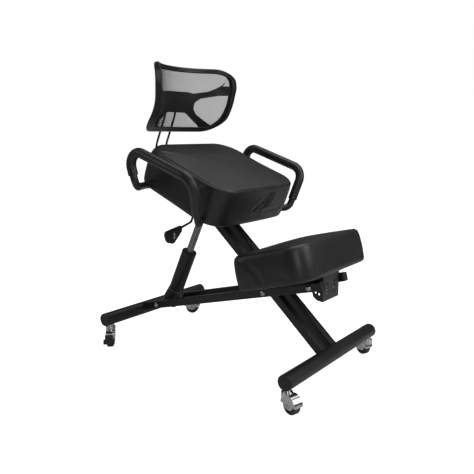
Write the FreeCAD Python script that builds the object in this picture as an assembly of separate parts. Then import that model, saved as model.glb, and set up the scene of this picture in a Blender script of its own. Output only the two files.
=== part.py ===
import FreeCAD, Part
import math
import os

# Kneeling chair with a perching seat, a knee pad, two loop handles and a mesh back.
# Millimetres. +X is forward, +Y is the sitter's left, +Z is up. The wheels stand on Z = 0.
# The seat rails and the front tube are one welded frame. The knee beams and the rear tube
# are a second one. They cross at one bolt, and a gas strut between them sets the height.

Vector = FreeCAD.Vector

# Places that everything hangs on
floorTubeX = 360.0            # front and rear tubes lie this far either side of the middle
frontTubeZ = 81.0
rearTubeZ = 92.0
floorTubeRadius = 21.5
floorTubeWall = 2.0
frontTubeHalf = 248.0
rearTubeHalf = 240.0

railSlope = 0.876             # fall of the seat rails per unit forward
railHeight = 390.4            # height of their centreline at X = 0
railTop = -140.0              # X where the rails end under the seat plate
railInner = 16.0              # the pair fills 16 to 41 either side of the middle
railWidth = 25.0
railDepth = 26.0

beamSlope = 0.274             # rise of the knee beams per unit forward
beamHeight = 196.75
beamInner = 52.0
beamSize = 25.0
beamFront = 357.0

tubeWall = 2.0
tubeEdge = 3.0
boltRadius = 5.0
runningGap = 0.05

# Seat, in its own frame: x down the slope from the rear edge, z square to it, 0 on the board
seatTilt = 23.2
seatX = -238.5
seatZ = 580.4
seatLength = 348.0
seatHeight = 112.0
seatHalfWidth = 203.0
boardThick = 12.0
plateThick = 3.0
seatSkirt = 15.0              # the cushion hangs this far below its board
pocketGap = 0.5

# Knee pad, in its own frame: x up the slope from its rear lower edge
kneeTilt = math.degrees(math.atan(beamSlope))
kneeX = 156.5
kneeZ = 278.1
kneeLength = 234.0
kneeHeight = 95.0
kneeHalfWidth = 193.0
kneeBoard = 10.0
kneeSkirt = 10.0
kneePivotX = 322.0
bracketHalf = 45.0

# Gas strut
strutFootX = -281.0
strutTopX = -125.0
strutTopZ = 450.0
sleeveRadius = 25.0
sleeveEnd = 207.0
rodRadius = 12.0
cheekInner = 26.0
cheekThick = 4.0

# Handles
handleY = 274.0
handleTube = 11.0
gripRadius = 14.5

# Backrest: a panel that wraps round the sitter and bulges at the lumbar height
panelRadius = 200.0
panelX = -230.0
panelZ = 814.0                # below this height the panel curves back
panelTop = 915.0
panelFoot = 707.5
panelHalf = 176.5
panelDepth = 13.0
backRodY = 23.0
backRodRadius = 3.5

# Casters
wheelRadius = 25.0
wheelWidth = 22.0
trail = 18.0
frontStemY = 234.0
rearStemY = 214.0
forkTop = 56.2
casterPlaces = {
    "front_right": (floorTubeX, -frontStemY, -16.0, False),
    "rear_right": (-floorTubeX, -rearStemY, -46.0, True),
    "front_left": (floorTubeX, frontStemY, 158.0, True),
    "rear_left": (-floorTubeX, rearStemY, 200.0, False),
}

nodes = {}


def railZ(x):
    return railHeight - railSlope * x


def underRail(x):
    return railZ(x) - railDepth / 2 / math.cos(math.atan(railSlope))


def beamZ(x):
    return beamHeight + beamSlope * x


pivotX = (railHeight - beamHeight) / (railSlope + beamSlope)
pivotZ = beamZ(pivotX)
strutFootZ = beamZ(strutFootX)
kneePivotZ = beamZ(kneePivotX)


# ---------------------------------------------------------------- shape helpers

def cylinder(start, end, radius):
    axis = end - start
    return Part.makeCylinder(radius, axis.Length, start, axis)


def across(x, z, y0, y1, radius):
    """A round bar along Y."""
    return cylinder(Vector(x, y0, z), Vector(x, y1, z), radius)


def ring(start, end, outer, inner):
    return cylinder(start, end, outer).cut(cylinder(start, end, inner))


def box(x0, x1, y0, y1, z0, z1):
    return Part.makeBox(x1 - x0, y1 - y0, z1 - z0, Vector(x0, y0, z0))


def roundedPath(points, radii, closed):
    """Straight runs joined by tangent arcs. A radius of 0 keeps a corner sharp."""
    count = len(points)
    starts = []
    edges = []
    for i, point in enumerate(points):
        radius = radii[i]
        if radius == 0 or (not closed and i in (0, count - 1)):
            starts.append((point, point))
            continue
        back = (points[i - 1] - point).normalize()
        ahead = (points[(i + 1) % count] - point).normalize()
        half = back.getAngle(ahead) / 2
        reach = radius / math.tan(half)
        middle = (back + ahead).normalize()
        lift = radius / math.sin(half) - radius
        first = point + back * reach
        last = point + ahead * reach
        edges.append((i, Part.Arc(first, point + middle * lift, last).toShape()))
        starts.append((first, last))
    arcs = dict(edges)
    ordered = []
    for i in range(count):
        if i in arcs:
            ordered.append(arcs[i])
        if i == count - 1 and not closed:
            break
        run = (starts[i][1], starts[(i + 1) % count][0])
        if (run[1] - run[0]).Length > 1e-6:
            ordered.append(Part.LineSegment(*run).toShape())
    return Part.Wire(ordered)


def plate(outline, radii, y0, y1):
    """A flat plate, drawn in X and Z, from y0 to y1."""
    wire = roundedPath([Vector(x, y0, z) for x, z in outline], radii, True)
    return Part.Face(wire).extrude(Vector(0, y1 - y0, 0))


def sweep(path, radius):
    edge = path.Edges[0]
    start = edge.valueAt(edge.FirstParameter)
    direction = edge.tangentAt(edge.FirstParameter)
    circle = Part.Wire(Part.Circle(start, direction, radius).toShape())
    return path.makePipeShell([circle], True, False)


def mirrored(shape):
    return shape.mirror(Vector(0, 0, 0), Vector(0, 1, 0))


def hexagon(x, z, y0, y1, across_flats):
    corner = across_flats / math.sqrt(3)
    points = []
    for step in range(6):
        angle = math.radians(60 * step)
        points.append((x + corner * math.cos(angle), z + corner * math.sin(angle)))
    return plate(points, [0] * 6, y0, y1)


def slopingTube(start, end, width, depth, y0):
    """A rectangular tube whose axis runs in the X-Z plane, with rounded edges and a 2 mm wall."""
    axis = end - start
    angle = math.degrees(math.atan2(axis.z, axis.x))
    solids = []
    for inset, edge in ((0, tubeEdge), (tubeWall, tubeEdge - tubeWall)):
        low = inset
        high = width - inset
        rise = depth / 2 - inset
        bar = box(0, axis.Length, low, high, -rise, rise)
        along = [e for e in bar.Edges if abs(e.tangentAt(e.FirstParameter).x) > 0.99]
        solids.append(bar.makeFillet(edge, along))
    tube = solids[0].cut(solids[1])
    tube.rotate(Vector(0, 0, 0), Vector(0, 1, 0), -angle)
    tube.translate(Vector(start.x, y0, start.z))
    return tube


def inSeat(shape):
    """Turns a shape from the seat's own frame into the chair's."""
    turned = shape.copy()
    turned.rotate(Vector(0, 0, 0), Vector(0, 1, 0), seatTilt)
    turned.translate(Vector(seatX, 0, seatZ))
    return turned


def seatPoint(x, y, z):
    angle = math.radians(seatTilt)
    return Vector(
        seatX + x * math.cos(angle) + z * math.sin(angle),
        y,
        seatZ - x * math.sin(angle) + z * math.cos(angle),
    )


def inKnee(shape):
    turned = shape.copy()
    turned.rotate(Vector(0, 0, 0), Vector(0, 1, 0), -kneeTilt)
    turned.translate(Vector(kneeX, 0, kneeZ))
    return turned


# ---------------------------------------------------------------- floor tubes

def floorTube(x, z, half, stemY):
    tube = ring(
        Vector(x, -half + 4, z),
        Vector(x, half - 4, z),
        floorTubeRadius,
        floorTubeRadius - floorTubeWall,
    )
    for side in (-1, 1):
        tube = tube.cut(Part.makeCylinder(boltRadius, z, Vector(x, side * stemY, 0)))
    return tube


def floorTubeCaps(x, z, half):
    caps = []
    inside = floorTubeRadius - floorTubeWall
    for side in (-1, 1):
        end = half * side
        disc = across(x, z, end - 4 * side, end, floorTubeRadius)
        rim = [e for e in disc.Edges if abs(e.CenterOfMass.y - end) < 0.01]
        disc = disc.makeFillet(2.0, rim)
        plug = across(x, z, end - 8 * side, end - 4 * side, inside)
        caps.append(disc.fuse(plug))
    return Part.Compound(caps)


# ---------------------------------------------------------------- crossing frames

def seatRail():
    top = Vector(railTop, 0, railZ(railTop))
    foot = Vector(floorTubeX, 0, railZ(floorTubeX))
    rail = slopingTube(top, foot, railWidth, railDepth, railInner)
    rail = rail.cut(across(floorTubeX, frontTubeZ, 0, 60, floorTubeRadius))
    rail = rail.cut(box(floorTubeX, floorTubeX + 60, 0, 60, 0, 200))
    above = box(-100, 400, 0, 60, -boardThick - plateThick, 200)
    rail = rail.cut(inSeat(above))
    rail = rail.cut(across(pivotX, pivotZ, 0, 60, boltRadius))
    return max(rail.Solids, key=lambda solid: solid.Volume)


def kneeBeam():
    rear = Vector(-floorTubeX, 0, beamZ(-floorTubeX))
    front = Vector(beamFront, 0, beamZ(beamFront))
    beam = slopingTube(rear, front, beamSize, beamSize, beamInner)
    beam = beam.cut(across(-floorTubeX, rearTubeZ, 0, 100, floorTubeRadius))
    beam = beam.cut(box(-floorTubeX - 60, -floorTubeX + 6, 0, 100, 0, 200))
    for x, z, gap in (
        (pivotX, pivotZ, runningGap),
        (strutFootX, strutFootZ, 0),
        (kneePivotX, kneePivotZ, 0),
    ):
        beam = beam.cut(across(x, z, 0, 100, boltRadius + gap))
    return max(beam.Solids, key=lambda solid: solid.Volume)


def beamEndCaps():
    """Plastic plugs that close the beams' front ends."""
    slope = math.radians(kneeTilt)
    ahead = Vector(math.cos(slope), 0, math.sin(slope))
    end = Vector(beamFront, 0, beamZ(beamFront))
    lid = slopingTube(end, end + ahead * 3, beamSize, beamSize, beamInner)
    lid = lid.fuse(closedBar(end, end + ahead * 3, beamSize - 1, beamInner + 0.5))
    inner = beamSize - 2 * tubeWall - 1
    plug = closedBar(end - ahead * 12, end, inner, beamInner + tubeWall + 0.5)
    cap = lid.fuse(plug).removeSplitter()
    return Part.Compound([cap, mirrored(cap)])


def closedBar(start, end, size, y0):
    axis = end - start
    bar = box(0, axis.Length, 0, size, -size / 2, size / 2)
    bar.rotate(Vector(0, 0, 0), Vector(0, 1, 0), -math.degrees(math.atan2(axis.z, axis.x)))
    bar.translate(Vector(start.x, y0, start.z))
    return bar


def beamSpacers():
    """Washers that keep the beams off the seat rails and off the knee bracket."""
    rings = []
    for x, z, inner, gap in (
        (pivotX, pivotZ, railInner + railWidth, runningGap),
        (kneePivotX, kneePivotZ, bracketHalf, 0),
    ):
        start = Vector(x, inner + 0.2, z)
        washer = ring(start, Vector(x, beamInner, z), 10, boltRadius + gap)
        rings += [washer, mirrored(washer)]
    return Part.Compound(rings)


def crossBolt(x, z, outside, radius, head):
    """A bolt along Y with a domed head on the right and a nut on the left."""
    shank = across(x, z, -outside, outside + 9, radius)
    face = across(x, z, -outside - 2, -outside, head)
    dome = Part.makeSphere(head * 1.25, Vector(x, -outside - 2 + head * 0.75, z))
    dome = dome.common(across(x, z, -outside - 20, -outside - 2, head))
    hexHole = hexagon(x, z, -outside - 20, -outside - 3, head * 0.75)
    bolt = shank.fuse(face).fuse(dome).cut(hexHole).removeSplitter()
    nut = hexagon(x, z, outside, outside + 6, head * 1.9)
    nut = nut.cut(across(x, z, outside - 1, outside + 20, radius))
    return Part.Compound([bolt, nut])


# ---------------------------------------------------------------- seat

def cushionBlock(length, height, halfWidth, skirt, rear, front, crest):
    """A pad with rounded corners whose lower edge hangs below its board."""
    profile = [(0, -skirt), (length, -skirt), (length, height), (0, height)]
    block = plate(profile, [12, 12, crest, crest], -halfWidth, halfWidth)
    plan = [
        Vector(-1, -halfWidth, -skirt - 1),
        Vector(length + 1, -halfWidth, -skirt - 1),
        Vector(length + 1, halfWidth, -skirt - 1),
        Vector(-1, halfWidth, -skirt - 1),
    ]
    corners = roundedPath(plan, [rear, front, front, rear], True)
    return block.common(Part.Face(corners).extrude(Vector(0, 0, height + skirt + 2)))


def seatCushion():
    block = cushionBlock(seatLength, seatHeight, seatHalfWidth, seatSkirt, 88, 72, 38)
    pocket = box(
        seatBoardRear - pocketGap,
        seatBoardFront + pocketGap,
        -seatBoardHalf - pocketGap,
        seatBoardHalf + pocketGap,
        -seatSkirt - 1,
        0,
    )
    block = inSeat(block.cut(pocket))
    for tube in handlePaths():
        block = block.cut(sweep(tube, handleTube + pocketGap))
    return block


seatBoardRear = 24.0
seatBoardFront = 222.0
seatBoardHalf = 150.0


def seatBoard():
    plan = [
        Vector(seatBoardRear, -seatBoardHalf, -boardThick),
        Vector(seatBoardFront, -seatBoardHalf, -boardThick),
        Vector(seatBoardFront, seatBoardHalf, -boardThick),
        Vector(seatBoardRear, seatBoardHalf, -boardThick),
    ]
    board = Part.Face(roundedPath(plan, [30] * 4, True)).extrude(Vector(0, 0, boardThick))
    return inSeat(drillSeat(board))


def seatScrewShanks():
    """Shanks of the four screws that hold the seat plate to the board."""
    low = -boardThick - plateThick
    places = [(x, y) for x in (55, 152) for y in (-60, 60)]
    return [Part.makeCylinder(3, 12, Vector(x, y, low)) for x, y in places]


def drillSeat(piece):
    """Cuts the holes of the seat's and the handles' screws."""
    for shank in seatScrewShanks():
        piece = piece.cut(shank)
    for shank in handleScrewShanks():
        piece = piece.cut(shank).cut(mirrored(shank))
    return piece


def seatScrews():
    screws = []
    for shank in seatScrewShanks():
        foot = shank.CenterOfMass - Vector(0, 0, 6 + 3)
        head = Part.makeCylinder(6, 3, foot)
        screws.append(inSeat(head.fuse(shank).removeSplitter()))
    return Part.Compound(screws)


def seatPlate():
    low = -boardThick - plateThick
    plan = [
        Vector(seatBoardRear, -75, low),
        Vector(205, -75, low),
        Vector(205, 75, low),
        Vector(seatBoardRear, 75, low),
    ]
    steel = Part.Face(roundedPath(plan, [12] * 4, True)).extrude(Vector(0, 0, plateThick))
    return inSeat(drillSeat(steel))


def strutCheeks():
    """Two plates under the seat that hold the strut's top pin and carry the lever's slot."""
    low = -boardThick - plateThick
    rear = seatPoint(55, 0, low)
    front = seatPoint(112, 0, low)
    corner = railTop - 11
    outline = [
        (rear.x, rear.z),
        (front.x, front.z),
        (corner, underRail(corner) - 2.6),
        (-96, underRail(-96) - 1.3),
        (-104, 434),
        (-140, 432),
    ]
    cheek = plate(outline, [0, 0, 0, 8, 14, 14], cheekInner, cheekInner + cheekThick)
    cheek = cheek.cut(across(strutTopX, strutTopZ, 0, 60, boltRadius))
    other = mirrored(cheek)
    slot = box(leverX - 5, leverX + 5, -40, 0, leverZ - 7, leverZ + 20)
    return Part.Compound([cheek, other.cut(slot)])


# ---------------------------------------------------------------- gas strut

strutFoot = Vector(strutFootX, 0, strutFootZ)
strutTop = Vector(strutTopX, 0, strutTopZ)
strutLength = (strutTop - strutFoot).Length
strutAxis = (strutTop - strutFoot).normalize()
leverX = strutTopX + strutAxis.x * 17.5
leverZ = strutTopZ + strutAxis.z * 17.5 + 4.0


def alongStrut(distance):
    return strutFoot + strutAxis * distance


def strutFootBlock():
    """Flared foot that swings on the lower bolt between the beams."""
    cone = Part.makeCone(33, 27, 38, alongStrut(9), strutAxis)
    base = cylinder(alongStrut(-8), alongStrut(9), 33)
    base = base.common(across(strutFootX, strutFootZ, -33, 33, 30))
    hub = across(strutFootX, strutFootZ, -beamInner + 0.4, beamInner - 0.4, 14)
    block = cone.fuse(base).fuse(hub).removeSplitter()
    return block.cut(across(strutFootX, strutFootZ, -60, 60, boltRadius + runningGap))


def strutCollar():
    return ring(alongStrut(47), alongStrut(53), 26.2, rodRadius + 2)


def strutSleeve():
    """Outer sleeve, with the guide at its mouth that the rod runs in."""
    shell = ring(alongStrut(53), alongStrut(sleeveEnd), sleeveRadius, sleeveRadius - 2)
    guide = ring(
        alongStrut(sleeveEnd - 14),
        alongStrut(sleeveEnd),
        sleeveRadius - 1,
        rodRadius + runningGap,
    )
    return shell.fuse(guide).removeSplitter()


def strutRod():
    return cylinder(alongStrut(126), alongStrut(strutLength - 18), rodRadius)


def strutHead():
    """Eye on top of the rod. Its hole is wide enough for the linkage to close on the pin."""
    neck = cylinder(alongStrut(strutLength - 18), alongStrut(strutLength + 13), 11)
    eye = across(strutTopX, strutTopZ, -12, 12, 15)
    head = neck.fuse(eye)
    head = head.cut(across(strutTopX, strutTopZ, -40, 40, boltRadius + 2.4))
    stub = cylinder(strutTop, alongStrut(strutLength + 30), 2.55)
    return head.removeSplitter().cut(stub)


def releasePin():
    return cylinder(alongStrut(strutLength + 9.5), alongStrut(strutLength + 17.4), 2.5)


def strutTopPin():
    pin = across(strutTopX, strutTopZ, -34, 34, boltRadius)
    heads = [across(strutTopX, strutTopZ, side * 30, side * 33, 8) for side in (-1, 1)]
    return pin.fuse(heads).removeSplitter()


# ---------------------------------------------------------------- height lever

leverRodRadius = 3.5
leverPinY = -36.0
leverBendY = -62.0
leverEndY = -112.0
leverDrop = 0.268


def leverLow(y):
    """Height of the outer run of the lever rod, which slopes down towards its paddle."""
    return 423.5 + leverDrop * (y - leverBendY)


def leverRod():
    points = [
        Vector(leverX, 6, leverZ),
        Vector(leverX, -48, leverZ),
        Vector(strutTopX, leverBendY, leverLow(leverBendY)),
        Vector(strutTopX, leverEndY, leverLow(leverEndY)),
    ]
    rod = sweep(roundedPath(points, [0, 10, 10, 0], False), leverRodRadius)
    return rod.cut(leverPin(runningGap))


def leverPin(gap):
    """Cross pin that the lever rocks on."""
    start = Vector(leverX - 7, leverPinY, leverZ)
    return cylinder(start, start + Vector(14, 0, 0), 1.5 + gap)


def leverBracket():
    """Two lugs welded under the right rail, with the cross pin between them."""
    lugs = []
    for x0 in (leverX - 7, leverX + 4):
        x1 = x0 + 3
        outline = [
            (x0, leverZ - 5),
            (x1, leverZ - 5),
            (x1, underRail(x1) - runningGap),
            (x0, underRail(x0) - runningGap),
        ]
        lugs.append(plate(outline, [0] * 4, leverPinY - 4, leverPinY + 4))
    pin = leverPin(0)
    bracket = lugs[0].fuse([lugs[1], pin]).removeSplitter()
    return bracket.cut(mirrored(seatRail()))


def leverPaddle():
    """Fan-shaped plate, wider at its outer end, standing upright."""
    centre = leverLow(leverEndY)
    outline = [
        (leverEndY + 6, centre + 9),
        (leverEndY + 4, centre - 10),
        (leverEndY - 34, centre - 46),
        (leverEndY - 62, centre - 38),
        (leverEndY - 72, centre - 4),
    ]
    points = [Vector(strutTopX - 5, y, z) for y, z in outline]
    wire = roundedPath(points, [7, 7, 14, 20, 12], True)
    blade = Part.Face(wire).extrude(Vector(10, 0, 0))
    faces = [e for e in blade.Edges if abs(e.CenterOfMass.x - strutTopX) > 4.9]
    blade = blade.makeFillet(2.5, faces)
    return blade.cut(leverRod())


# ---------------------------------------------------------------- knee pad

kneeBoardRear = 26.0
kneeBoardFront = 212.0
kneeBoardHalf = 152.0


def kneePad():
    block = cushionBlock(kneeLength, kneeHeight, kneeHalfWidth, kneeSkirt, 24, 60, 27)
    pocket = box(
        kneeBoardRear - pocketGap,
        kneeBoardFront + pocketGap,
        -kneeBoardHalf - pocketGap,
        kneeBoardHalf + pocketGap,
        -kneeSkirt - 1,
        0,
    )
    return inKnee(block.cut(pocket))


def kneeScrewShanks():
    low = -kneeBoard - plateThick
    places = [(x, y) for x in (100, 178) for y in (-30, 30)]
    return [Part.makeCylinder(3, 11, Vector(x, y, low)) for x, y in places]


def kneeBoardPanel():
    plan = [
        Vector(kneeBoardRear, -kneeBoardHalf, -kneeBoard),
        Vector(kneeBoardFront, -kneeBoardHalf, -kneeBoard),
        Vector(kneeBoardFront, kneeBoardHalf, -kneeBoard),
        Vector(kneeBoardRear, kneeBoardHalf, -kneeBoard),
    ]
    board = Part.Face(roundedPath(plan, [35] * 4, True)).extrude(Vector(0, 0, kneeBoard))
    for shank in kneeScrewShanks():
        board = board.cut(shank)
    return inKnee(board)


def kneeScrews():
    screws = []
    for shank in kneeScrewShanks():
        foot = shank.CenterOfMass - Vector(0, 0, 5.5 + 3)
        screws.append(inKnee(Part.makeCylinder(6, 3, foot).fuse(shank).removeSplitter()))
    return Part.Compound(screws)


def kneeBracket():
    """Bent plate under the pad: a top flange, two cheeks and a perforated front."""
    half = bracketHalf
    low = -kneeBoard - plateThick
    flange = box(80, 199, -half, half, low, -kneeBoard)
    for shank in kneeScrewShanks():
        flange = flange.cut(shank)
    bracket = inKnee(flange)
    drop = (kneeBoard + plateThick) / math.cos(math.radians(kneeTilt))
    underside = kneeZ - beamSlope * kneeX - drop
    frontX = 350.0
    top = [(x, underside + beamSlope * x + 1) for x in (292, frontX)]
    outline = top + [(frontX, 242), (331, 244), (318, 254), (316, 266), (296, 276)]
    cheek = plate(outline, [0, 0, 3, 9, 9, 12, 8], half - 3, half)
    bracket = bracket.fuse([cheek, mirrored(cheek)])
    front = box(frontX - 3, frontX, -half + 1, half - 1, 242, top[1][1])
    for row in range(4):
        for y in (-20, 20):
            height = 262 + 9.5 * row
            start = Vector(frontX - 10, y, height)
            front = front.cut(Part.makeCylinder(3.4, 20, start, Vector(1, 0, 0)))
    bracket = bracket.fuse(front)
    for x, z in ((337, 263), (326, 266)):
        bracket = bracket.cut(across(x, z, -60, 60, 3.4))
    bracket = bracket.cut(across(kneePivotX, kneePivotZ, -60, 60, boltRadius + runningGap))
    return bracket.removeSplitter()


# ---------------------------------------------------------------- handles

handleRear = 34.0             # seat x of the rear end of each handle, and of the front end
handleFront = 176.0


def handlePoints():
    """Corner points of the left loop, from under the seat's front to under its rear."""
    under = -boardThick - plateThick - handleTube
    points = [
        seatPoint(handleFront, 60, under),
        seatPoint(handleFront + 52, 100, under),
        Vector(57, 228, 452),
        Vector(82, handleY, 580),
        Vector(-178, handleY, 667),
        Vector(-143, handleY - 2, 548),
        seatPoint(handleRear, 172, under),
        seatPoint(handleRear, 52, under),
    ]
    return points, [0, 60, 30, 45, 35, 27, 40, 0]


def handlePaths():
    points, radii = handlePoints()
    left = roundedPath(points, radii, False)
    return left, mirrored(left)


def handle():
    path = handlePaths()[0]
    tube = sweep(path, handleTube)
    tube = tube.cut(sweep(path, handleTube - 1.6))
    for shank in handleScrewShanks():
        tube = tube.cut(inSeat(shank))
    return tube


def grip():
    """Smooth foam sleeve over the whole visible loop."""
    points, radii = handlePoints()
    front = points[2] + (points[3] - points[2]) * 0.24
    rear = points[5] + (points[4] - points[5]) * 0.3
    path = roundedPath([front, points[3], points[4], rear], [0, radii[3], radii[4], 0], False)
    return sweep(path, gripRadius).cut(sweep(path, handleTube))


def handleScrewShanks():
    """One screw through each end of the left handle into the board."""
    low = -boardThick - plateThick - 2 * handleTube
    length = boardThick + plateThick + 2 * handleTube - 2
    places = ((handleRear, 64), (handleFront + 7.5, 66))
    return [Part.makeCylinder(3, length, Vector(x, y, low)) for x, y in places]


def handleScrews():
    screws = []
    for shank in handleScrewShanks():
        foot = shank.CenterOfMass - Vector(0, 0, shank.BoundBox.ZLength / 2 + 3)
        screw = inSeat(Part.makeCylinder(5.5, 3, foot).fuse(shank).removeSplitter())
        screws += [screw, mirrored(screw)]
    return Part.Compound(screws)


# ---------------------------------------------------------------- backrest

def fall(z):
    """How far down the curved-back part of the panel a height lies, from 0 to about 1."""
    return max(0.0, panelZ - z) / 110.0


def lumbar(z):
    """X of the panel's middle line at height z."""
    return panelX - 42.0 * fall(z) ** 2


def sideDepth(y, z):
    """Extra depth of the rim's side walls, which grow deeper towards the lower corners."""
    return (abs(y) / panelHalf) ** 3 * (15.0 + 35.0 * fall(z) ** 2)


def panelSlab(front, back, flare=0.0):
    """The curved panel between two depths behind its face, larger than its outline."""
    wires = []
    for step in range(-6, 7):
        angle = math.radians(12 * step)
        y = panelRadius * math.sin(angle)
        wrap = panelRadius - panelRadius * math.cos(angle)
        heights = range(690, 941, 25)
        face = [Vector(lumbar(z) + wrap - front, y, z) for z in heights]
        rear = [Vector(lumbar(z) + wrap - back - flare * sideDepth(y, z), y, z) for z in heights]
        near = Part.BSplineCurve()
        near.interpolate(face)
        far = Part.BSplineCurve()
        far.interpolate(rear)
        lid = Part.LineSegment(face[-1], rear[-1]).toShape()
        floor = Part.LineSegment(rear[0], face[0]).toShape()
        wires.append(Part.Wire([near.toShape(), lid, far.toShape(), floor]))
    return Part.makeLoft(wires, True, False)


def panelPrism(points, radii):
    wire = roundedPath([Vector(-420, y, z) for y, z in points], radii, True)
    return Part.Face(wire).extrude(Vector(400, 0, 0))


def bothSides(half):
    """Completes an outline given for the left half, from top to bottom."""
    return half + [(-y, z) for y, z in reversed(half)]


def panelOutline(inset, side):
    half = [
        (panelHalf - 2.5 - side, panelTop - inset),
        (panelHalf - side, 850),
        (160 - side, panelFoot + inset),
    ]
    radii = [46 - side, 70, 58 - side]
    return panelPrism(bothSides(half), radii + radii[::-1])


rimWidth = 16.0
rimSide = 9.0                 # the rim's width where it is seen edge on, at the sides


def backRim():
    slab = panelSlab(0, panelDepth, 1.0)
    return slab.common(panelOutline(0, 0)).cut(panelOutline(rimWidth, rimSide))


def backMesh():
    return panelSlab(5, 7).common(panelOutline(rimWidth, rimSide))


def backSupport():
    """Moulded spider behind the mesh: a middle block, two rising arms and two legs."""
    half = [
        (0, 843),
        (50, 837),
        (66, 832),
        (98, 836),
        (121, 842),
        (152, 860),
        (170, 893),
        (173, 829),
        (139, 827),
        (93, 817),
        (72, 804),
        (68, 786),
        (76, 771),
        (132, 731),
        (150, 714),
        (112, 714),
        (98, 731),
        (44, 770),
    ]
    outline = half + [(-y, z) for y, z in reversed(half[1:])]
    arms = panelSlab(7.5, panelDepth).common(panelPrism(outline, [0] * len(outline)))
    return arms.common(panelOutline(rimWidth, rimSide))


rodFoot = seatPoint(52, backRodY, -boardThick - plateThick - backRodRadius)
rodHip = seatPoint(-80, backRodY, -boardThick - plateThick - backRodRadius)
rodWaist = Vector(-317, backRodY, 664)
rodNeck = Vector(-272, backRodY, 762)
rodTip = Vector(-268, backRodY, 830)
slideAxis = (rodTip - rodNeck).normalize()


def backRods():
    points = [rodFoot, rodHip, rodWaist, rodNeck, rodTip]
    rod = sweep(roundedPath(points, [0, 30, 60, 24, 0], False), backRodRadius)
    return Part.Compound([rod, mirrored(rod)])


def backBlock():
    """Housing that slides on the two rods and carries the spider."""
    body = box(-284, -232, -40, 40, 778, 832)
    body = body.makeFillet(5, [e for e in body.Edges if e.CenterOfMass.x < -283])
    for side in (-1, 1):
        foot = Vector(rodNeck.x, side * backRodY, rodNeck.z)
        body = body.cut(cylinder(foot, foot + slideAxis * 90, backRodRadius + runningGap))
    return body.cut(panelSlab(-60, panelDepth))


def backClamp():
    """Welded strap that traps the two rods against the seat plate."""
    low = -boardThick - plateThick
    strap = box(26, 50, -34, 34, low - 2 * backRodRadius - 3, low)
    for side in (-1, 1):
        middle = side * backRodY
        depth = low - backRodRadius
        start = Vector(20, middle, depth)
        strap = strap.cut(cylinder(start, start + Vector(60, 0, 0), backRodRadius))
        mouth = box(20, 80, middle - backRodRadius, middle + backRodRadius, depth, low + 1)
        strap = strap.cut(mouth)
    return inSeat(strap)


# ---------------------------------------------------------------- casters

brakeX = 45.5
brakeZ = 45.0


def placed(shape, place):
    """Turns a caster piece to its swivel angle and puts it under its stem."""
    x, y, angle, _ = place
    piece = shape.copy()
    piece.rotate(Vector(0, 0, 0), Vector(0, 0, 1), angle)
    piece.translate(Vector(x, y, 0))
    return piece


def wheel():
    half = wheelWidth / 2
    rim = wheelRadius
    outline = [
        (3 + runningGap, -half),
        (8, -half),
        (9, -half + 2.5),
        (16, -half + 2.5),
        (17, -half),
        (rim, -half),
        (rim, half),
        (17, half),
        (16, half - 2.5),
        (9, half - 2.5),
        (8, half),
        (3 + runningGap, half),
    ]
    points = [Vector(trail + r, y, wheelRadius) for r, y in outline]
    wire = roundedPath(points, [0, 0, 0, 0, 0, 5, 5, 0, 0, 0, 0, 0], True)
    centre = Vector(trail, 0, wheelRadius)
    return Part.Face(wire).revolve(centre, Vector(0, 1, 0), 360)


def fork(braked):
    """Pressed hood over the wheel with two cheeks and the swivel head."""
    wall = 14.0
    gap = 12.0
    hood = across(trail, wheelRadius, -wall, wall, 28.2)
    hood = hood.common(box(-20, 70, -20, 20, 27, 60))
    head = Part.makeCylinder(15.5, 13, Vector(0, 0, 41.2))
    cheek = plate(
        [(trail - 27, 28), (trail + 26, 28), (trail + 8, 15), (trail - 8, 15)],
        [4, 4, 8, 8],
        -wall,
        wall,
    )
    body = hood.fuse([head, cheek])
    if braked:
        ear = plate([(36, 34), (33, 46), (46, 51), (51, 45), (47, 36)], [0, 3, 5, 5, 3], -wall, wall)
        body = body.fuse(ear)
    body = body.cut(across(trail, wheelRadius, -gap, gap, 26.6))
    body = body.cut(box(trail - 27, trail + 27, -gap, gap, 0, 27))
    if braked:
        between = box(30, 60, -gap, gap, 30, 60)
        body = body.cut(between.cut(across(trail, wheelRadius, -15, 15, 28.2)))
        body = body.cut(across(brakeX, brakeZ, -20, 20, 2 + runningGap))
    race = Part.makeCylinder(13, 2, Vector(0, 0, 54.2))
    body = body.fuse(race)
    body = body.cut(Part.makeCylinder(8.5, 12, Vector(0, 0, 40)))
    body = body.cut(Part.makeCylinder(boltRadius + runningGap, 30, Vector(0, 0, 40)))
    body = body.cut(across(trail, wheelRadius, -20, 20, 3))
    body = body.removeSplitter()
    return max(body.Solids, key=lambda solid: solid.Volume)



def axle():
    """Rivet through both cheeks, with shallow heads."""
    pin = across(trail, wheelRadius, -14, 14, 3)
    heads = []
    for side in (-1, 1):
        heads.append(across(trail, wheelRadius, 14 * side, 15.4 * side, 4.5))
    return pin.fuse(heads).removeSplitter()


def brakePedal():
    """Black foot lever on a pin between the fork's ears."""
    hub = across(brakeX, brakeZ, -11.7, 11.7, 4)
    pin = across(brakeX, brakeZ, -13.9, 13.9, 2)
    arm = plate(
        [(brakeX, 49), (52, 47), (58, 34), (52, 30), (48, 36), (brakeX, 41)],
        [0, 3, 2, 2, 3, 0],
        -11.7,
        11.7,
    )
    toe = plate([(50, 38), (57, 35), (62, 25), (59, 21.5), (54, 23), (48.5, 31)], [2] * 6, -18, 18)
    return hub.fuse([pin, arm, toe]).removeSplitter()


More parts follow.
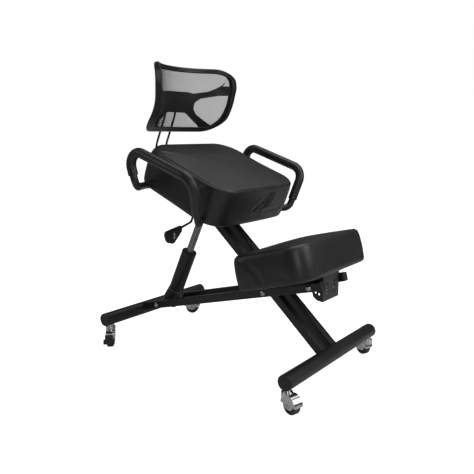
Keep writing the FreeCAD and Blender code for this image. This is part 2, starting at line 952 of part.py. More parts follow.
def casterStem(x, y, tubeZ):
    """Threaded stem riveted into the swivel head, with the collar that the tube sits on."""
    base = Vector(x, y, 0)
    tubeBottom = tubeZ - floorTubeRadius
    head = Part.makeCylinder(7.5, 1.5, base + Vector(0, 0, 50.4))
    shank = Part.makeCylinder(boltRadius, tubeZ - 51.9, base + Vector(0, 0, 51.9))
    stem = head.fuse(shank)
    foot = base + Vector(0, 0, forkTop + 0.3)
    if tubeBottom > forkTop + 8:
        collar = Part.makeCylinder(12, tubeBottom + 3 - forkTop, foot)
        for rise in (1, 6):
            collar = collar.fuse(Part.makeCylinder(16, 3, foot + Vector(0, 0, rise)))
    else:
        collar = Part.makeCylinder(9, tubeBottom + 2 - forkTop, foot)
    collar = collar.cut(across(x, tubeZ, -300, 300, floorTubeRadius))
    return stem.fuse(collar).removeSplitter()


# ---------------------------------------------------------------- the whole chair

def buildFrames():
    for end, x, z, half, stemY in (
        ("front", floorTubeX, frontTubeZ, frontTubeHalf, frontStemY),
        ("rear", -floorTubeX, rearTubeZ, rearTubeHalf, rearStemY),
    ):
        nodes[end + "_tube"] = floorTube(x, z, half, stemY)
        nodes[end + "_tube_caps"] = floorTubeCaps(x, z, half)
        stems = [casterStem(x, side * stemY, z) for side in (-1, 1)]
        nodes[end + "_caster_stems"] = Part.Compound(stems)
    nodes["seat_rail_left"] = seatRail()
    nodes["seat_rail_right"] = mirrored(nodes["seat_rail_left"])
    nodes["knee_beam_left"] = kneeBeam()
    nodes["knee_beam_right"] = mirrored(nodes["knee_beam_left"])
    nodes["beam_end_caps"] = beamEndCaps()
    nodes["beam_spacers"] = beamSpacers()
    outside = beamInner + beamSize
    nodes["pivot_bolt"] = crossBolt(pivotX, pivotZ, outside + 0.2, boltRadius, 8)
    nodes["strut_foot_bolt"] = crossBolt(strutFootX, strutFootZ, outside, boltRadius, 8)
    nodes["knee_bolt"] = crossBolt(kneePivotX, kneePivotZ, outside, boltRadius, 8)


def buildSeat():
    nodes["seat_cushion"] = seatCushion()
    nodes["seat_board"] = seatBoard()
    nodes["seat_plate"] = seatPlate()
    nodes["seat_screws"] = seatScrews()
    nodes["strut_cheeks"] = strutCheeks()
    nodes["handle_left"] = handle()
    nodes["handle_right"] = mirrored(nodes["handle_left"])
    nodes["grip_left"] = grip()
    nodes["grip_right"] = mirrored(nodes["grip_left"])
    nodes["handle_screws"] = handleScrews()


def buildStrut():
    nodes["strut_foot"] = strutFootBlock()
    nodes["strut_collar"] = strutCollar()
    nodes["strut_sleeve"] = strutSleeve()
    nodes["strut_rod"] = strutRod()
    nodes["strut_head"] = strutHead()
    nodes["strut_top_pin"] = strutTopPin()
    nodes["release_pin"] = releasePin()
    nodes["lever_bracket"] = leverBracket()
    nodes["lever_rod"] = leverRod()
    nodes["lever_paddle"] = leverPaddle()


def buildKneePad():
    nodes["knee_pad"] = kneePad()
    nodes["knee_board"] = kneeBoardPanel()
    nodes["knee_bracket"] = kneeBracket()
    nodes["knee_screws"] = kneeScrews()


def buildBackrest():
    nodes["back_rods"] = backRods()
    nodes["back_clamp"] = backClamp()
    nodes["back_block"] = backBlock()
    nodes["back_support"] = backSupport()
    nodes["back_rim"] = backRim()
    nodes["back_mesh"] = backMesh()


def buildCasters():
    for name, place in casterPlaces.items():
        nodes["caster_fork_" + name] = placed(fork(place[3]), place)
        nodes["caster_wheel_" + name] = placed(wheel(), place)
        nodes["caster_axle_" + name] = placed(axle(), place)
        if place[3]:
            nodes["caster_brake_" + name] = placed(brakePedal(), place)


def buildAll():
    buildFrames()
    buildSeat()
    buildStrut()
    buildKneePad()
    buildBackrest()
    buildCasters()
    os.makedirs("parts", exist_ok=True)
    for name, shape in nodes.items():
        shape.exportStep("parts/" + name + ".step")


buildAll()
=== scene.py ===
import math
import bpy
import bmesh
from mathutils import Matrix, Vector
from mathutils.bvhtree import BVHTree
from mathutils.kdtree import KDTree


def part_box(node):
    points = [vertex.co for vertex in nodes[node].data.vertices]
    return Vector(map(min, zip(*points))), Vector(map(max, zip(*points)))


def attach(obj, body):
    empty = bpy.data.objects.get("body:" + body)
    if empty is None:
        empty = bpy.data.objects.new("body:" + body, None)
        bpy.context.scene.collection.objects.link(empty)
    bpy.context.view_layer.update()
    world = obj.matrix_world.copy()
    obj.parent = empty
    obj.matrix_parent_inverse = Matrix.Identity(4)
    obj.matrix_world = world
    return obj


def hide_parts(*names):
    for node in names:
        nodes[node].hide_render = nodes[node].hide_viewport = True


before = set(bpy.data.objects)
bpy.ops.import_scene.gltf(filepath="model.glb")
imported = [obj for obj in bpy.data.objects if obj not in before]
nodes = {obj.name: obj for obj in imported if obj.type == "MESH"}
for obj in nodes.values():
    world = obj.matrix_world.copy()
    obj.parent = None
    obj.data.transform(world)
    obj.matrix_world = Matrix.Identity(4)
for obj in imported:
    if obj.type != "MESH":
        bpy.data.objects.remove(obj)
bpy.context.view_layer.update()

scene = bpy.context.scene

# the frames of the two cushions, as in the CAD: x along the pad, z square to it, 0 on the board
seatPlace = Matrix.Translation((-0.2385, 0, 0.5804)) @ Matrix.Rotation(math.radians(23.2), 4, "Y")
kneePlace = Matrix.Translation((0.1565, 0, 0.2781)) @ Matrix.Rotation(-math.atan(0.274), 4, "Y")


# meshes and small helpers

def newObject(name, mesh):
    item = bpy.data.objects.new(name, mesh)
    scene.collection.objects.link(item)
    return item


def meshFrom(name, points, faces, edges=()):
    mesh = bpy.data.meshes.new(name)
    mesh.from_pydata([tuple(p) for p in points], list(edges), faces)
    mesh.update()
    return mesh


def smoothAll(mesh):
    mesh.polygons.foreach_set("use_smooth", [True] * len(mesh.polygons))
    mesh.update()


def outwards(mesh):
    # every shell is closed first, so that "outside" has a meaning
    work = bmesh.new()
    work.from_mesh(mesh)
    bmesh.ops.remove_doubles(work, verts=work.verts, dist=1e-6)
    bmesh.ops.recalc_face_normals(work, faces=work.faces)
    work.to_mesh(mesh)
    work.free()


def bakeModifiers(item):
    # turns the evaluated object into a plain mesh and drops its modifiers
    bpy.context.view_layer.update()
    result = bpy.data.meshes.new_from_object(item.evaluated_get(bpy.context.evaluated_depsgraph_get()))
    item.modifiers.clear()
    old = item.data
    item.data = result
    bpy.data.meshes.remove(old)
    return item


def roundedOutline(corners, radii, spacing):
    # closed line through the corners with tangent arcs: points and outward normals, evenly spaced
    dense = []
    count = len(corners)
    for i in range(count):
        here = Vector(corners[i])
        back = (Vector(corners[i - 1]) - here).normalized()
        ahead = (Vector(corners[(i + 1) % count]) - here).normalized()
        half = back.angle(ahead) / 2
        reach = radii[i] / math.tan(half)
        centre = here + (back + ahead).normalized() * (radii[i] / math.sin(half))
        start = here + back * reach - centre
        sweep = math.pi - 2 * half
        turn = math.copysign(1, back.x * ahead.y - back.y * ahead.x)
        steps = 24
        for k in range(steps + 1):
            dense.append(centre + Matrix.Rotation(-turn * sweep * k / steps, 2) @ start)
    lengths = [0.0]
    for i in range(len(dense)):
        lengths.append(lengths[-1] + (dense[(i + 1) % len(dense)] - dense[i]).length)
    total = lengths[-1]
    wanted = max(12, round(total / spacing))
    points = []
    at = 0
    for k in range(wanted):
        goal = total * k / wanted
        while lengths[at + 1] < goal:
            at += 1
        part = (goal - lengths[at]) / max(lengths[at + 1] - lengths[at], 1e-12)
        points.append(dense[at].lerp(dense[(at + 1) % len(dense)], part))
    area = sum(points[i - 1].x * p.y - p.x * points[i - 1].y for i, p in enumerate(points))
    side = 1 if area > 0 else -1
    normals = []
    for i, p in enumerate(points):
        run = points[(i + 1) % wanted] - points[i - 1]
        normals.append(Vector((run.y, -run.x)).normalized() * side)
    return points, normals


# shared effects: each group puts out a colour, a roughness and a height over the surface

def newGroup(name, values, colours, outputs):
    group = bpy.data.node_groups.new(name, "ShaderNodeTree")
    for label, value in values.items():
        socket = group.interface.new_socket(label, in_out="INPUT", socket_type="NodeSocketFloat")
        socket.default_value = value
    for label, value in colours.items():
        socket = group.interface.new_socket(label, in_out="INPUT", socket_type="NodeSocketColor")
        socket.default_value = value
    for label in outputs:
        kind = "NodeSocketColor" if label == "Color" else "NodeSocketFloat"
        group.interface.new_socket(label, in_out="OUTPUT", socket_type=kind)
    return group, group.nodes.new("NodeGroupInput"), group.nodes.new("NodeGroupOutput")


class Wiring:
    # short words for adding and joining nodes in one tree
    def __init__(self, tree):
        self.tree = tree

    def add(self, kind, **settings):
        node = self.tree.nodes.new(kind)
        for key, value in settings.items():
            setattr(node, key, value)
        return node

    def join(self, source, target):
        self.tree.links.new(source, target)

    def math(self, operation, first, second=None, third=None):
        node = self.add("ShaderNodeMath", operation=operation)
        for i, value in enumerate((first, second, third)):
            if value is None:
                continue
            if isinstance(value, (int, float)):
                node.inputs[i].default_value = value
            else:
                self.join(value, node.inputs[i])
        return node.outputs[0]

    def noise(self, scale, detail, place, rough=0.5):
        node = self.add("ShaderNodeTexNoise")
        node.inputs["Detail"].default_value = detail
        node.inputs["Roughness"].default_value = rough
        self.join(place, node.inputs["Vector"])
        if isinstance(scale, (int, float)):
            node.inputs["Scale"].default_value = scale
        else:
            self.join(scale, node.inputs["Scale"])
        return node.outputs["Fac"]

    def spread(self, value, low, high, newLow, newHigh):
        node = self.add("ShaderNodeMapRange")
        self.join(value, node.inputs["Value"])
        for label, number in (("From Min", low), ("From Max", high), ("To Min", newLow), ("To Max", newHigh)):
            if isinstance(number, (int, float)):
                node.inputs[label].default_value = number
            else:
                self.join(number, node.inputs[label])
        return node.outputs["Result"]

    def mix(self, share, first, second):
        node = self.add("ShaderNodeMix", data_type="RGBA")
        self.join(share, node.inputs["Factor"])
        self.join(first, node.inputs["A"])
        self.join(second, node.inputs["B"])
        return node.outputs["Result"]


def coatedLeather():
    # pebbled grain, soft blotches in the polish and painted shade in the grain valleys
    group, given, out = newGroup(
        "coatedLeather",
        {"Grain": 620.0, "Depth": 0.6, "Polish": 0.4},
        {"Top": (0.02, 0.02, 0.021, 1), "Shaded Valley": (0.008, 0.008, 0.009, 1)},
        ("Color", "Roughness", "Height"),
    )
    w = Wiring(group)
    place = w.add("ShaderNodeTexCoord").outputs["Object"]
    cells = w.add("ShaderNodeTexVoronoi", feature="SMOOTH_F1")
    cells.inputs["Smoothness"].default_value = 0.6
    w.join(given.outputs["Grain"], cells.inputs["Scale"])
    w.join(place, cells.inputs["Vector"])
    pebble = w.spread(cells.outputs["Distance"], 0.15, 0.75, 1.0, 0.0)
    fine = w.noise(2400, 2, place)
    broad = w.noise(9, 3, place)
    streak = w.noise(34, 3, place)
    height = w.math("MULTIPLY_ADD", fine, 0.25, pebble)
    w.join(w.math("MULTIPLY", height, given.outputs["Depth"]), out.inputs["Height"])
    # the valley colour is painted shade: the pebble mask darkens the grain's recesses
    w.join(w.mix(pebble, given.outputs["Shaded Valley"], given.outputs["Top"]), out.inputs["Color"])
    drift = w.spread(w.math("ADD", broad, w.math("MULTIPLY", streak, 0.35)), 0.45, 0.9, -0.06, 0.08)
    grainRough = w.math("MULTIPLY", w.math("SUBTRACT", 1.0, pebble), 0.1)
    rough = w.math("ADD", given.outputs["Polish"], w.math("ADD", drift, grainRough))
    w.join(rough, out.inputs["Roughness"])
    return group


def sprayedCoat():
    # faint orange peel with a slow change of gloss and a trace of dust on it
    group, given, out = newGroup(
        "sprayedCoat",
        {"Peel": 420.0, "Depth": 0.4, "Gloss": 0.34, "Dust": 0.25},
        {"Paint": (0.012, 0.012, 0.013, 1), "Dust Color": (0.05, 0.05, 0.052, 1)},
        ("Color", "Roughness", "Height"),
    )
    w = Wiring(group)
    place = w.add("ShaderNodeTexCoord").outputs["Object"]
    peel = w.noise(given.outputs["Peel"], 2, place, 0.4)
    speck = w.noise(1900, 3, place, 0.7)
    slow = w.noise(7, 4, place)
    w.join(w.math("MULTIPLY", peel, given.outputs["Depth"]), out.inputs["Height"])
    patches = w.spread(w.math("MULTIPLY", slow, speck), 0.2, 0.42, 0.0, 1.0)
    film = w.math("MULTIPLY", patches, given.outputs["Dust"])
    w.join(w.mix(film, given.outputs["Paint"], given.outputs["Dust Color"]), out.inputs["Color"])
    change = w.spread(slow, 0.3, 0.7, -0.05, 0.07)
    gloss = w.math("ADD", given.outputs["Gloss"], change)
    w.join(w.math("ADD", gloss, w.math("MULTIPLY", film, 0.2)), out.inputs["Roughness"])
    return group


def mouldedSkin():
    # spark-eroded grain of a moulding, with handling polish
    group, given, out = newGroup(
        "mouldedSkin",
        {"Grain": 1500.0, "Depth": 0.5, "Matt": 0.48},
        {"Tone": (0.016, 0.016, 0.017, 1), "Rubbed": (0.03, 0.03, 0.031, 1)},
        ("Color", "Roughness", "Height"),
    )
    w = Wiring(group)
    place = w.add("ShaderNodeTexCoord").outputs["Object"]
    grain = w.noise(given.outputs["Grain"], 4, place, 0.6)
    slow = w.noise(14, 3, place)
    w.join(w.math("MULTIPLY", grain, given.outputs["Depth"]), out.inputs["Height"])
    worn = w.spread(slow, 0.4, 0.75, 0.0, 1.0)
    w.join(w.mix(worn, given.outputs["Tone"], given.outputs["Rubbed"]), out.inputs["Color"])
    polish = w.spread(w.math("ADD", slow, w.math("MULTIPLY", grain, 0.4)), 0.5, 0.9, 0.07, -0.07)
    w.join(w.math("ADD", given.outputs["Matt"], polish), out.inputs["Roughness"])
    return group


def workedMetal():
    # drawn or plated metal: fine lines along one direction and faint fingering
    group, given, out = newGroup(
        "workedMetal",
        {"Along": 30.0, "Across": 1600.0, "Depth": 0.3, "Polish": 0.25},
        {"Bright": (0.6, 0.6, 0.61, 1), "Dull": (0.4, 0.4, 0.41, 1)},
        ("Color", "Roughness", "Height"),
    )
    w = Wiring(group)
    place = w.add("ShaderNodeTexCoord").outputs["Object"]
    stretch = w.add("ShaderNodeCombineXYZ")
    w.join(given.outputs["Across"], stretch.inputs["X"])
    w.join(given.outputs["Across"], stretch.inputs["Y"])
    w.join(given.outputs["Along"], stretch.inputs["Z"])
    scaled = w.add("ShaderNodeVectorMath", operation="MULTIPLY")
    w.join(place, scaled.inputs[0])
    w.join(stretch.outputs[0], scaled.inputs[1])
    lines = w.noise(1.0, 3, scaled.outputs[0], 0.6)
    slow = w.noise(40, 3, place)
    w.join(w.math("MULTIPLY", lines, given.outputs["Depth"]), out.inputs["Height"])
    dulled = w.spread(w.math("MULTIPLY", lines, slow), 0.15, 0.42, 0.0, 1.0)
    w.join(w.mix(dulled, given.outputs["Bright"], given.outputs["Dull"]), out.inputs["Color"])
    fingered = w.spread(slow, 0.3, 0.7, -0.04, 0.1)
    w.join(w.math("ADD", given.outputs["Polish"], fingered), out.inputs["Roughness"])
    return group


def woodPly():
    # stained plywood: long figure across the sheet
    group, given, out = newGroup(
        "woodPly",
        {"Figure": 18.0, "Depth": 0.4},
        {"Light": (0.05, 0.038, 0.028, 1), "Dark": (0.016, 0.012, 0.01, 1)},
        ("Color", "Roughness", "Height"),
    )
    w = Wiring(group)
    place = w.add("ShaderNodeTexCoord").outputs["Object"]
    turned = w.add("ShaderNodeMapping")
    turned.inputs["Scale"].default_value = (1.0, 0.08, 1.0)
    w.join(place, turned.inputs["Vector"])
    bent = w.noise(given.outputs["Figure"], 4, turned.outputs[0])
    rings = w.math("SINE", w.math("MULTIPLY", bent, 60.0))
    pores = w.noise(700, 3, turned.outputs[0], 0.7)
    grain = w.spread(w.math("ADD", rings, pores), -0.6, 1.4, 0.0, 1.0)
    w.join(w.mix(grain, given.outputs["Dark"], given.outputs["Light"]), out.inputs["Color"])
    w.join(w.spread(pores, 0.3, 0.7, 0.62, 0.8), out.inputs["Roughness"])
    w.join(w.math("MULTIPLY", pores, given.outputs["Depth"]), out.inputs["Height"])
    return group


def finishMaterial(name, group, inputs, sockets, bump):
    material = bpy.data.materials.new(name)
    material.use_nodes = True
    w = Wiring(material.node_tree)
    shader = material.node_tree.nodes["Principled BSDF"]
    effect = w.add("ShaderNodeGroup", node_tree=group)
    for label, value in inputs.items():
        effect.inputs[label].default_value = value
    w.join(effect.outputs["Color"], shader.inputs["Base Color"])
    w.join(effect.outputs["Roughness"], shader.inputs["Roughness"])
    relief = w.add("ShaderNodeBump")
    relief.inputs["Strength"].default_value = 1.0
    relief.inputs["Distance"].default_value = bump
    w.join(effect.outputs["Height"], relief.inputs["Height"])
    w.join(relief.outputs["Normal"], shader.inputs["Normal"])
    for label, value in sockets.items():
        shader.inputs[label].default_value = value
    return material


leatherGroup = coatedLeather()
coatGroup = sprayedCoat()
skinGroup = mouldedSkin()
metalGroup = workedMetal()
plyGroup = woodPly()

# the darker valley colour below is painted shade in the grain
seatLeather = finishMaterial(
    "seatLeather", leatherGroup,
    {"Grain": 620.0, "Depth": 0.5, "Polish": 0.36,
     "Top": (0.013, 0.013, 0.0135, 1), "Shaded Valley": (0.006, 0.006, 0.0065, 1)},
    {"Specular IOR Level": 0.5, "Coat Weight": 0.12, "Coat Roughness": 0.3}, 0.00022,
)
# the darker valley colour below is painted shade in the grain
kneeLeather = finishMaterial(
    "kneeLeather", leatherGroup,
    {"Grain": 560.0, "Depth": 0.5, "Polish": 0.33,
     "Top": (0.012, 0.012, 0.0125, 1), "Shaded Valley": (0.0055, 0.0055, 0.006, 1)},
    {"Specular IOR Level": 0.5, "Coat Weight": 0.15, "Coat Roughness": 0.25}, 0.00022,
)
framePaint = finishMaterial(
    "framePaint", coatGroup,
    {"Peel": 420.0, "Depth": 0.4, "Gloss": 0.36, "Dust": 0.2,
     "Paint": (0.01, 0.01, 0.0105, 1), "Dust Color": (0.035, 0.035, 0.036, 1)},
    {"Specular IOR Level": 0.5}, 0.00015,
)
capPlastic = finishMaterial(
    "capPlastic", skinGroup,
    {"Grain": 1500.0, "Depth": 0.5, "Matt": 0.5,
     "Tone": (0.012, 0.012, 0.0125, 1), "Rubbed": (0.022, 0.022, 0.023, 1)},
    {"Specular IOR Level": 0.45}, 0.00012,
)
rimPlastic = finishMaterial(
    "rimPlastic", skinGroup,
    {"Grain": 1900.0, "Depth": 0.35, "Matt": 0.33,
     "Tone": (0.009, 0.009, 0.0095, 1), "Rubbed": (0.015, 0.015, 0.016, 1)},
    {"Specular IOR Level": 0.5}, 0.0001,
)
gripFoam = finishMaterial(
    "gripFoam", skinGroup,
    {"Grain": 800.0, "Depth": 0.5, "Matt": 0.38,
     "Tone": (0.011, 0.011, 0.0115, 1), "Rubbed": (0.02, 0.02, 0.021, 1)},
    {"Specular IOR Level": 0.5}, 0.00014,
)
wheelPlastic = finishMaterial(
    "wheelPlastic", skinGroup,
    {"Grain": 1200.0, "Depth": 0.4, "Matt": 0.4,
     "Tone": (0.014, 0.014, 0.0145, 1), "Rubbed": (0.04, 0.04, 0.041, 1)},
    {"Specular IOR Level": 0.5}, 0.0001,
)
collarPlastic = finishMaterial(
    "collarPlastic", skinGroup,
    {"Grain": 1500.0, "Depth": 0.3, "Matt": 0.36,
     "Tone": (0.09, 0.09, 0.093, 1), "Rubbed": (0.13, 0.13, 0.134, 1)},
    {"Specular IOR Level": 0.5, "Metallic": 0.6}, 0.0001,
)
boltSteel = finishMaterial(
    "boltSteel", metalGroup,
    {"Along": 60.0, "Across": 900.0, "Depth": 0.3, "Polish": 0.26,
     "Bright": (0.62, 0.62, 0.63, 1), "Dull": (0.36, 0.36, 0.37, 1)},
    {"Metallic": 1.0}, 0.00004,
)
pistonSteel = finishMaterial(
    "pistonSteel", metalGroup,
    {"Along": 18.0, "Across": 1400.0, "Depth": 0.3, "Polish": 0.34,
     "Bright": (0.3, 0.3, 0.31, 1), "Dull": (0.2, 0.2, 0.21, 1)},
    {"Metallic": 0.9}, 0.00003,
)
chromePlate = finishMaterial(
    "chromePlate", metalGroup,
    {"Along": 200.0, "Across": 260.0, "Depth": 0.12, "Polish": 0.13,
     "Bright": (0.72, 0.72, 0.73, 1), "Dull": (0.5, 0.5, 0.51, 1)},
    {"Metallic": 1.0}, 0.00004,
)
stainedPly = finishMaterial("stainedPly", plyGroup, {"Figure": 18.0, "Depth": 0.4}, {}, 0.0002)
netThread = finishMaterial(
    "netThread", skinGroup,
    {"Grain": 2600.0, "Depth": 0.4, "Matt": 0.55,
     "Tone": (0.018, 0.018, 0.019, 1), "Rubbed": (0.03, 0.03, 0.031, 1)},
    {"Specular IOR Level": 0.4}, 0.0001,
)
markInk = finishMaterial(
    "markInk", skinGroup,
    {"Grain": 900.0, "Depth": 0.2, "Matt": 0.5, "Tone": (0.62, 0.62, 0.63, 1), "Rubbed": (0.5, 0.5, 0.51, 1)},
    {}, 0.00005,
)
seamThread = finishMaterial(
    "seamThread", skinGroup,
    {"Grain": 4000.0, "Depth": 0.6, "Matt": 0.5,
     "Tone": (0.02, 0.02, 0.021, 1), "Rubbed": (0.045, 0.045, 0.046, 1)},
    {}, 0.0001,
)
print("materials built")

nodeFinish = {
    "front_tube": framePaint, "rear_tube": framePaint,
    "seat_rail": framePaint, "knee_beam": framePaint, "knee_bracket": framePaint,
    "seat_plate": framePaint, "strut_cheeks": framePaint, "handle_left": framePaint,
    "handle_right": framePaint, "back_rods": framePaint, "back_clamp": framePaint,
    "lever_bracket": framePaint, "lever_rod": framePaint, "strut_foot": framePaint,
    "strut_sleeve": framePaint,
    "front_tube_caps": capPlastic, "rear_tube_caps": capPlastic, "beam_end_caps": capPlastic,
    "lever_paddle": capPlastic, "back_block": rimPlastic, "back_support": rimPlastic,
    "back_rim": rimPlastic, "grip": gripFoam, "strut_collar": collarPlastic,
    "pivot_bolt": boltSteel, "strut_foot_bolt": boltSteel, "knee_bolt": boltSteel,
    "seat_screws": boltSteel, "knee_screws": boltSteel, "handle_screws": boltSteel,
    "strut_top_pin": boltSteel, "beam_spacers": boltSteel, "release_pin": boltSteel,
    "strut_rod": pistonSteel, "strut_head": framePaint,
    "seat_board": stainedPly, "knee_board": stainedPly,
    "seat_cushion": seatLeather, "knee_pad": kneeLeather, "back_mesh": netThread,
    "caster_fork": chromePlate, "caster_axle": boltSteel, "caster_wheel": wheelPlastic,
    "caster_brake": wheelPlastic, "front_caster_stems": chromePlate, "rear_caster_stems": chromePlate,
}
for nodeName, item in nodes.items():
    best = max((key for key in nodeFinish if nodeName.startswith(key)), key=len)
    for place in item.material_slots:
        place.material = nodeFinish[best]
print("frame finished")


# cushions

seam = {
    "turn": math.radians(50), "width": 0.0022, "depth": 0.0012,  # where on the top edge, and its groove
    "grip": 0.006, "hold": 0.9,                                  # how far and how hard it holds the cover
    "stitchDrop": 0.006, "stitchLift": 0.0001,
    "stitch": {"Pitch": 0.0042, "Length": 0.0032, "Thickness": 0.0004},
}
cover = {"frames": 20, "quality": 6, "mass": 0.35, "tension": 18, "shear": 6, "heldAbove": 0.001}


def ease(value, low, high):
    part = max(0.0, min(1.0, (value - low) / (high - low)))
    return part * part * (3 - 2 * part)


def cushionShell(spec):
    # rings from the middle of the underside, out round the edge and in to the middle of the top
    points, normals = roundedOutline(spec["corners"], spec["radii"], 0.006)
    length, halfWidth, height = spec["length"], spec["halfWidth"], spec["height"]
    foot, roll = -spec["skirt"], spec["lowRadius"]
    for p in points:
        front = max(0.0, p.x / length) ** 3
        p.x += spec["frontBow"] * ((1 - (p.y / halfWidth) ** 2) * front - front)
        p.y -= math.copysign(spec["waist"] * math.sin(math.pi * min(max(p.x / length, 0), 1)), p.y)
    middle = Vector((length / 2, 0))
    crests = []
    for p in points:
        share = ease(p.x / length, spec["crestFrom"], 0.97)
        crests.append(spec["crestSide"] + (spec["crestFront"] - spec["crestSide"]) * share)
    rings = []
    for k in range(1, 13):
        part = k / 12
        lift = spec["recess"] * (1 - ease(part, 0.7, 0.92))
        rings.append([(middle.lerp(p - n * roll, part), foot + lift) for p, n in zip(points, normals)])
    for k in range(1, 6):
        turn = math.pi / 2 * k / 5
        rings.append([(p - n * roll * (1 - math.sin(turn)), foot + roll * (1 - math.cos(turn)))
                      for p, n in zip(points, normals)])
    for k in range(1, 14):
        part = k / 14
        push = spec["bulge"] * math.sin(math.pi * part)
        rings.append([(p + n * push, foot + roll + (height - crest - foot - roll) * part)
                      for p, n, crest in zip(points, normals, crests)])
    for k in range(0, 8):
        turn = math.pi / 2 * k / 7
        rings.append([(p - n * crest * (1 - math.cos(turn)), height - crest * (1 - math.sin(turn)))
                      for p, n, crest in zip(points, normals, crests)])
    for k in range(13, -1, -1):
        part = k / 14
        swell = spec["crown"] * (1 - part ** 2) ** 1.3
        rings.append([(middle.lerp(p - n * crest, part), height + swell)
                      for p, n, crest in zip(points, normals, crests)])
    verts = [Vector((flat.x, flat.y, z)) for ring in rings for flat, z in ring]
    count = len(points)
    faces = []
    for r in range(len(rings) - 1):
        for i in range(count):
            j = (i + 1) % count
            faces.append((r * count + i, r * count + j, (r + 1) * count + j, (r + 1) * count + i))
    verts.append(Vector((middle.x, middle.y, foot + spec["recess"])))
    for i in range(count):
        faces.append((len(verts) - 1, (i + 1) % count, i))
    mesh = meshFrom(spec["name"], verts, faces)
    outwards(mesh)
    inward, down = 1 - math.cos(seam["turn"]), 1 - math.sin(seam["turn"])
    line = []
    for p, n, crest in zip(points, normals, crests):
        flat = p - n * crest * inward
        line.append(Vector((flat.x, flat.y, height - crest * down)))
    return mesh, line


def remeshed(item, voxel):
    grid = item.modifiers.new("even", "REMESH")
    grid.mode = "VOXEL"
    grid.voxel_size = voxel
    grid.use_smooth_shade = True
    relax = item.modifiers.new("relax", "SMOOTH")
    relax.factor = 0.5
    relax.iterations = 4
    return bakeModifiers(item)


def inflate(item, spec, held):
    # the cover swells between its seams like sewn leather over foam
    before = [v.co.copy() for v in item.data.vertices]
    group = item.vertex_groups.new(name="held")
    for v in item.data.vertices:
        group.add([v.index], held(v.co), "REPLACE")
    cloth = item.modifiers.new("cover", "CLOTH")
    fabric = cloth.settings
    fabric.quality = cover["quality"]
    fabric.mass = cover["mass"]
    fabric.tension_stiffness = cover["tension"]
    fabric.compression_stiffness = cover["tension"]
    fabric.shear_stiffness = cover["shear"]
    fabric.bending_stiffness = spec["stiffness"]
    fabric.use_pressure = True
    fabric.uniform_pressure_force = spec["pressure"]
    fabric.vertex_group_mass = "held"
    fabric.pin_stiffness = 1
    fabric.shrink_min = spec["shrink"]
    fabric.effector_weights.gravity = 0
    for step in range(1, cover["frames"] + 1):
        scene.frame_set(step)
    swollen = item.evaluated_get(bpy.context.evaluated_depsgraph_get()).data
    after = [v.co.copy() for v in swollen.vertices]
    item.modifiers.clear()
    for v, old, new in zip(item.data.vertices, before, after):
        move = new - old
        if move.length > spec["cap"]:
            move *= spec["cap"] / move.length
        v.co = old + move
    item.vertex_groups.clear()
    item.data.update()
    scene.frame_set(1)


def subdivided(item, levels):
    finer = item.modifiers.new("finer", "SUBSURF")
    finer.levels = levels
    finer.render_levels = levels
    return bakeModifiers(item)


def finely(line, step=0.0012):
    fine = []
    for a, b in zip(line, line[1:]):
        count = max(1, math.ceil((b - a).length / step))
        fine += [a.lerp(b, k / count) for k in range(count)]
    return fine + [line[-1]]


def treeOf(line):
    tree = KDTree(len(line))
    for i, p in enumerate(line):
        tree.insert(p, i)
    tree.balance()
    return tree


def pressLines(item, lines):
    # pulls in a fold along each line and lifts the leather beside it
    mesh = item.data
    normals = [v.normal.copy() for v in mesh.vertices]
    for line, width, depth in lines:
        low = [min(p[k] for p in line) - 4 * width for k in range(3)]
        high = [max(p[k] for p in line) + 4 * width for k in range(3)]
        tree = treeOf(finely(line))
        for v in mesh.vertices:
            if any(v.co[k] < low[k] or v.co[k] > high[k] for k in range(3)):
                continue
            far = tree.find(v.co)[2] / width
            if far < 3.5:
                ridge, groove = 0.45 * math.exp(-((far - 1.7) ** 2)), math.exp(-far * far)
                v.co += normals[v.index] * depth * (ridge - groove)
    mesh.update()


def onSurface(item, points, lift):
    mesh = item.data
    tree = BVHTree.FromPolygons([v.co for v in mesh.vertices], [p.vertices for p in mesh.polygons])
    found = []
    for p in points:
        spot, normal, _, _ = tree.find_nearest(p)
        found.append(spot + normal * lift)
    return found


def settle(item, place, material, body, node):
    item.data.transform(place)
    smoothAll(item.data)
    item.data.materials.clear()
    item.data.materials.append(material)
    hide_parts(node)
    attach(item, body)


# geometry node trees for what repeats or follows a line

def newTree(name, values, materialLabel="Material"):
    tree = bpy.data.node_groups.new(name, "GeometryNodeTree")
    tree.interface.new_socket("Geometry", in_out="INPUT", socket_type="NodeSocketGeometry")
    for label, (kind, value) in values.items():
        socket = tree.interface.new_socket(label, in_out="INPUT", socket_type=kind)
        socket.default_value = value
    tree.interface.new_socket(materialLabel, in_out="INPUT", socket_type="NodeSocketMaterial")
    tree.interface.new_socket("Geometry", in_out="OUTPUT", socket_type="NodeSocketGeometry")
    return tree, tree.nodes.new("NodeGroupInput"), tree.nodes.new("NodeGroupOutput")


def closeTree(w, given, out, shape):
    real = w.add("GeometryNodeRealizeInstances")
    paint = w.add("GeometryNodeSetMaterial")
    w.join(shape, real.inputs[0])
    w.join(real.outputs[0], paint.inputs["Geometry"])
    w.join(given.outputs["Material"], paint.inputs["Material"])
    w.join(paint.outputs[0], out.inputs["Geometry"])


def sweptThread():
    # every chain of edges in the guide becomes one thread
    tree, given, out = newTree("sweptThread", {
        "Radius": ("NodeSocketFloat", 0.0005), "Sides": ("NodeSocketInt", 4),
    })
    w = Wiring(tree)
    curve = w.add("GeometryNodeMeshToCurve")
    profile = w.add("GeometryNodeCurvePrimitiveCircle")
    sweep = w.add("GeometryNodeCurveToMesh")
    sweep.inputs["Fill Caps"].default_value = True
    w.join(given.outputs["Geometry"], curve.inputs["Mesh"])
    w.join(given.outputs["Radius"], profile.inputs["Radius"])
    w.join(given.outputs["Sides"], profile.inputs["Resolution"])
    w.join(curve.outputs[0], sweep.inputs["Curve"])
    w.join(profile.outputs[0], sweep.inputs["Profile Curve"])
    closeTree(w, given, out, sweep.outputs[0])
    return tree


